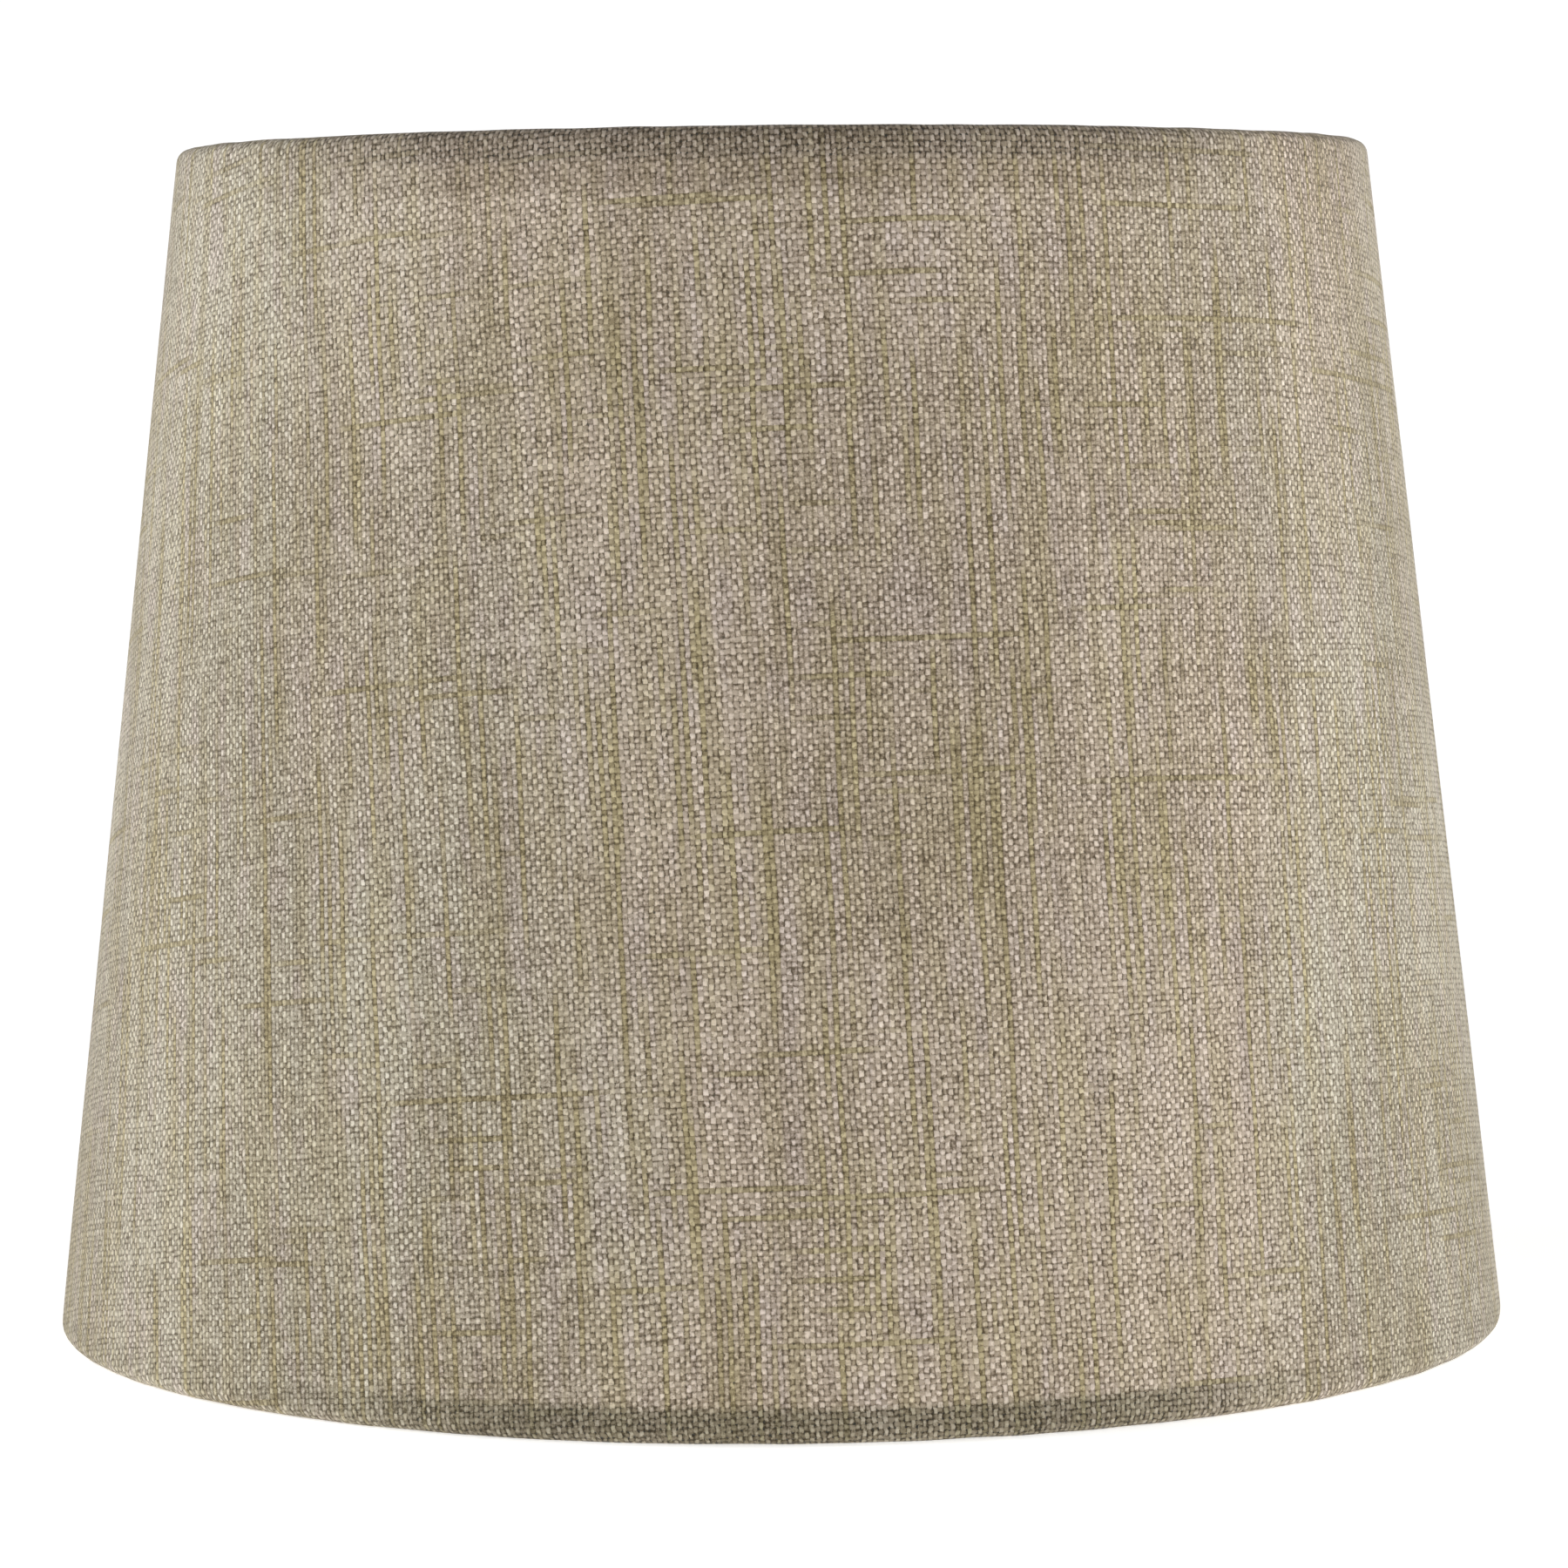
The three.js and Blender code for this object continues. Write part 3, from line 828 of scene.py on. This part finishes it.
def from_rings(section):
    """Arc length from the nearer ring's level to each station; 0 and under on the rolls and hems."""
    lengths = section.arc_lengths()
    wall = np.nonzero(section.on_wall())[0]
    return np.minimum(lengths - lengths[wall[0]], lengths[wall[-1]] - lengths)


def pattern_map(section, angles):
    """Threads counted across and along the flat cloth, which is a fan before it is wrapped."""
    lengths = section.arc_lengths()
    wall_start = int(np.argmax(section.on_wall()))
    apex_distance = section.places[wall_start][0] / cone_sine
    away = apex_distance - (lengths - lengths[wall_start])
    middle = PATTERN_MIDDLE + (2 * math.pi if PATTERN_MIDDLE < lap_end else 0)
    turn = (angles - middle) * cone_sine
    across = away[None, :] * np.sin(turn)[:, None]
    up = -away[None, :] * np.cos(turn)[:, None]
    return np.stack([across / WARP_PITCH, up / WEFT_PITCH], axis=2).reshape(-1, 2)


def linen_cover(material):
    """The cloth, one panel wrapped once round, its outer end lapped over its hemless under ply."""
    section = cover_section()
    angles = wrap_angles(notch_half_width())
    lengths = section.arc_lengths()
    rides = np.array(section.rides)[None, :]
    inward = from_rings(section)
    base = lap_lift(angles)[:, None] * rides
    ripple = waver(angles, lengths, RIPPLE_SIZE, seed=3.0) * RIPPLE_HEIGHT
    near_rim = np.clip(1 - inward / PUCKER_REACH, 0, 1)[None, :]
    pucker = waver(angles, lengths, PUCKER_SIZE, seed=17.0) * PUCKER_HEIGHT * near_rim
    base = base + ripple + pucker
    outer = round_points(section, angles, base + FABRIC_THICKNESS)
    inner = round_points(section, angles, base)
    # The bottom roll lies flat on what the shade stands on
    outer[:, :, 2] = np.maximum(outer[:, :, 2], 0)
    inner[:, :, 2] = np.maximum(inner[:, :, 2], FABRIC_THICKNESS)

    wall_cell = section.on_wall()[1:] & section.on_wall()[:-1]
    keep = np.ones((len(angles) - 1, len(lengths) - 1), bool)
    under_ply = angles[1:] < lap_end + clip_angle / 2
    keep[under_ply] = wall_cell[None, :]
    keep[np.argmax(~under_ply)] = wall_cell
    keep &= ~notch_cells(angles, section)

    vertices = np.concatenate([outer.reshape(-1, 3), inner.reshape(-1, 3)])
    pattern = np.tile(pattern_map(section, angles), (2, 1))
    inward = np.tile(inward, len(angles) * 2)
    vertices, faces, pattern, inward = drop_unused(vertices, sheet_faces(keep), pattern, inward)
    piece = new_object("linen_cover", vertices, faces)
    set_uv(piece, "Pattern", pattern)
    set_number(piece, "Inward", inward)
    finish_piece(piece, material, "linen_cloth", "fabric_cover")
    return piece


def plain_strip(name, section, angles, thickness, material, slot, node):
    """A smooth sheet behind the cloth."""
    reach = lap_lift(angles)[:, None] * np.array(section.rides)[None, :]
    inner = round_points(section, angles, reach)
    outer = round_points(section, angles, reach + thickness)
    keep = np.ones((len(angles) - 1, len(section.places) - 1), bool)
    vertices = np.concatenate([outer.reshape(-1, 3), inner.reshape(-1, 3)])
    piece = new_object(name, vertices, sheet_faces(keep))
    finish_piece(piece, material, slot, node)


# ---------------------------------------------------------------- wire frame

def wire_ring(name, ring, material, node):
    """A round wire bent into a ring."""
    turns = np.linspace(0, 2 * math.pi, RING_STEPS, endpoint=False)
    level = np.full(RING_STEPS, ring[1])
    path = np.stack([ring[0] * np.cos(turns), ring[0] * np.sin(turns), level], axis=1)
    radii = np.full((RING_STEPS, 2), ring_wire)
    vertices, faces = tube(path, radii, WIRE_SIDES, closed=True)
    piece = new_object(name, vertices, faces)
    finish_piece(piece, material, "plated_wire", node)


def eased(corners, bend, steps=10):
    """Corners joined by straight runs, with each inner corner eased into a bend."""
    line = [corners[0]]
    for before, corner, after in zip(corners, corners[1:], corners[2:]):
        start = corner + (before - corner) * bend / np.linalg.norm(before - corner)
        end = corner + (after - corner) * bend / np.linalg.norm(after - corner)
        for i in range(steps + 1):
            share = i / steps
            line.append(start * (1 - share) ** 2 + corner * 2 * share * (1 - share) + end * share**2)
    line.append(corners[-1])
    return line


def turned(vertices, angle):
    spin = np.array(Matrix.Rotation(angle, 3, "Z"))
    return np.array(vertices) @ spin.T


def spoke(number, angle, washer_low, washer_radius, material):
    """One arm: pressed flat under the washer, up to the ring's level, and level to the ring."""
    level = washer_low - FIT_GAP - SPOKE_DIAMETER / 2
    inner_end = washer_radius - SPOKE_UNDER_WASHER
    outer_end = top_ring[0] - ring_wire
    shoulder = top_ring[0] - ring_wire - FIT_GAP - SPOKE_SHOULDER
    rise = top_ring[1] - level
    corners = [np.array(c) for c in (
        (inner_end, 0.0, level),
        (shoulder - rise, 0.0, level),
        (shoulder, 0.0, top_ring[1]),
        (outer_end, 0.0, top_ring[1]),
    )]
    line = eased(corners, SPOKE_BEND)
    tip_run = [line[0] + (line[1] - line[0]) * i / SPOKE_TIP_STEPS for i in range(SPOKE_TIP_STEPS)]
    fine = tip_run + line[1:]
    radii = np.full((len(fine), 2), SPOKE_DIAMETER / 2)
    reach = np.array(fine)[:, 0]
    flat = np.clip((washer_radius + FLATTENING_RUN / 2 - reach) / FLATTENING_RUN, 0, 1)
    radii[:, 0] *= 1 + SPOKE_FLATTENING * flat
    tip = np.clip((reach - inner_end) / TIP_ROUNDING, TIP_SHARE, 1)
    radii *= tip[:, None]
    vertices, faces = tube(fine, radii, WIRE_SIDES)
    piece = new_object(f"spoke_wire_{number}", turned(vertices, angle), faces)
    finish_piece(piece, material, "plated_wire", f"spoke_{number}")


def weld_bead(kind, number, centre, size, angle, seed, material):
    """A lumpy nugget of weld metal that laps onto both parts."""
    shape = bmesh.new()
    bmesh.ops.create_icosphere(shape, subdivisions=4, radius=1.0)
    for vertex in shape.verts:
        coarse = BEAD_LUMPS[0] * noise.noise(vertex.co * 1.6 + Vector((seed, 0, 0)))
        fine = BEAD_LUMPS[1] * noise.noise(vertex.co * 6)
        stretched = [c * s * (1 + coarse + fine) for c, s in zip(vertex.co, size)]
        vertex.co = Vector(stretched) + Vector(centre)
    vertices = np.array([v.co for v in shape.verts])
    faces = [[v.index for v in f.verts] for f in shape.faces]
    shape.free()
    piece = new_object(f"{kind}_bead_{number}", turned(vertices, angle), faces)
    finish_piece(piece, material, "weld_steel", f"{kind}_{number}")


def washer_profile(outer, bottom, top):
    """Radius and height round the washer's section, from the hole's lower edge outwards."""
    hole = WASHER_HOLE_RADIUS
    profile = [(hole, bottom + WASHER_BURR), (hole + WASHER_BURR, bottom)]
    profile += [(outer - WASHER_BURR, bottom), (outer, bottom + WASHER_BURR)]
    for i in range(WASHER_ROLL_STEPS + 1):
        turn = math.pi / 2 * i / WASHER_ROLL_STEPS
        inset = WASHER_OUTER_ROLL * (1 - math.cos(turn))
        profile.append((outer - inset, top - WASHER_OUTER_ROLL * (1 - math.sin(turn))))
    profile += [(outer - DISH_MARGINS[1], top - WASHER_DISH), (hole + DISH_MARGINS[0], top)]
    for i in range(WASHER_HOLE_STEPS + 1):
        turn = math.pi / 2 * (1 - i / WASHER_HOLE_STEPS)
        inset = WASHER_HOLE_ROLL * (1 - math.cos(turn))
        profile.append((hole + inset, top - WASHER_HOLE_ROLL * (1 - math.sin(turn))))
    return profile


def fitter_washer(low, high, material):
    """Stamped washer: rolled-over edge on top, sharper edge with a burr below."""
    profile = washer_profile(high[0], low[2], high[2])
    turns = np.arange(WASHER_SIDES) * 2 * math.pi / WASHER_SIDES
    vertices = [(r * math.cos(t), r * math.sin(t), z) for t in turns for r, z in profile]
    count = len(profile)
    faces = []
    for i in range(WASHER_SIDES):
        here = i * count
        onward = (i + 1) % WASHER_SIDES * count
        for k in range(count):
            after = (k + 1) % count
            faces.append((onward + k, onward + after, here + after, here + k))
    piece = new_object("washer_disc", vertices, faces)
    finish_piece(piece, material, "plated_wire", "fitter_washer")


def spider(wire, weld):
    """Washer, three spokes, and the six welds that hold them."""
    low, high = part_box("fitter_washer")
    fitter_washer(low, high, wire)
    ring_spot = (
        top_ring[0] - ring_wire - RING_BEAD_SINK,
        0,
        top_ring[1] - SPOKE_DIAMETER / 2 - BEAD_OFFSET,
    )
    rim_spot = (high[0] + BEAD_OFFSET, 0, low[2] + BEAD_OFFSET)
    for i, angle in enumerate(spoke_angles()):
        number = i + 1
        spoke(number, angle, low[2], high[0], wire)
        weld_bead("ring_weld", number, ring_spot, RING_BEAD, angle, i * 5.0, weld)
        weld_bead("washer_weld", number, rim_spot, WASHER_BEAD, angle, 40 + i * 5.0, weld)


# ---------------------------------------------------------------- camera, floor and light

def add_camera():
    data = bpy.data.cameras.new("camera")
    data.lens = CAMERA_LENS_MM
    data.sensor_width = 36
    data.clip_start = 0.05
    data.clip_end = 50
    camera = bpy.data.objects.new("camera", data)
    aim = Matrix.Rotation(CAMERA_YAW, 4, "Z") @ Matrix.Rotation(math.pi / 2 - CAMERA_PITCH, 4, "X")
    aim = aim @ Matrix.Rotation(CAMERA_ROLL, 4, "Z")
    camera.matrix_world = Matrix.Translation((CAMERA_ASIDE, -CAMERA_DISTANCE, CAMERA_HEIGHT)) @ aim
    bpy.context.scene.collection.objects.link(camera)
    bpy.context.scene.camera = camera


def add_floor():
    turns = np.arange(FLOOR_SIDES) * 2 * math.pi / FLOOR_SIDES
    rim = [(FLOOR_RADIUS * math.cos(t), FLOOR_RADIUS * math.sin(t), 0) for t in turns]
    vertices = [(0, 0, 0)] + rim
    faces = [(0, i + 1, (i + 1) % FLOOR_SIDES + 1) for i in range(FLOOR_SIDES)]
    floor = new_object("studio_floor", vertices, faces)
    floor.data.materials.append(floor_material())


def add_soft_box(name, degrees, height, watts):
    data = bpy.data.lights.new(name, "AREA")
    data.size = SOFT_BOX_SIZE
    data.energy = watts
    light = bpy.data.objects.new(name, data)
    turn = math.radians(degrees)
    place = Vector((SOFT_BOX_DISTANCE * math.sin(turn), -SOFT_BOX_DISTANCE * math.cos(turn), height))
    light.location = place
    light.rotation_euler = (SOFT_BOX_AIM - place).to_track_quat("-Z", "Y").to_euler()
    light.visible_camera = False
    bpy.context.scene.collection.objects.link(light)


def add_world():
    """White to the camera, dimmer as light."""
    world = bpy.data.worlds.new("studio")
    world.use_nodes = True
    nodes, links = world.node_tree.nodes, world.node_tree.links
    nodes.clear()
    path = nodes.new("ShaderNodeLightPath")
    strength = nodes.new("ShaderNodeMapRange")
    strength.inputs["To Min"].default_value = WORLD_LIGHT
    strength.inputs["To Max"].default_value = WORLD_SEEN
    background = nodes.new("ShaderNodeBackground")
    background.inputs["Color"].default_value = (1, 1, 1, 1)
    output = nodes.new("ShaderNodeOutputWorld")
    links.new(path.outputs["Is Camera Ray"], strength.inputs["Value"])
    links.new(strength.outputs[0], background.inputs["Strength"])
    links.new(background.outputs[0], output.inputs["Surface"])
    bpy.context.scene.world = world
    bpy.context.scene.view_settings.view_transform = "Standard"


# ---------------------------------------------------------------- the shade

add_camera()
add_floor()
add_world()
for box in SOFT_BOXES:
    add_soft_box(*box)

linen = linen_material()
styrene = styrene_material()
wire = wire_material()

cover = linen_cover(linen)
liner_section = wall_section(ring_to_liner, LINER_INSET, STRIP_STEPS, rides=1)
plain_strip(
    "liner_sheet", liner_section, wrap_angles(), LINER_THICKNESS, styrene, "white_styrene", "styrene_liner"
)
tape_section = wall_section(roll_radius + PLY_GAP, UNDER_PLY_INSET, STRIP_STEPS)
tape_angles = np.linspace(SEAM_ANGLE, lap_end, TAPE_STATIONS)
plain_strip(
    "tape_strip", tape_section, tape_angles, TAPE_THICKNESS, tape_material(), "tape_film", "seam_tape"
)
wire_ring("top_wire", top_ring, wire, "top_ring")
wire_ring("bottom_wire", bottom_ring, wire, "bottom_ring")
spider(wire, weld_material())
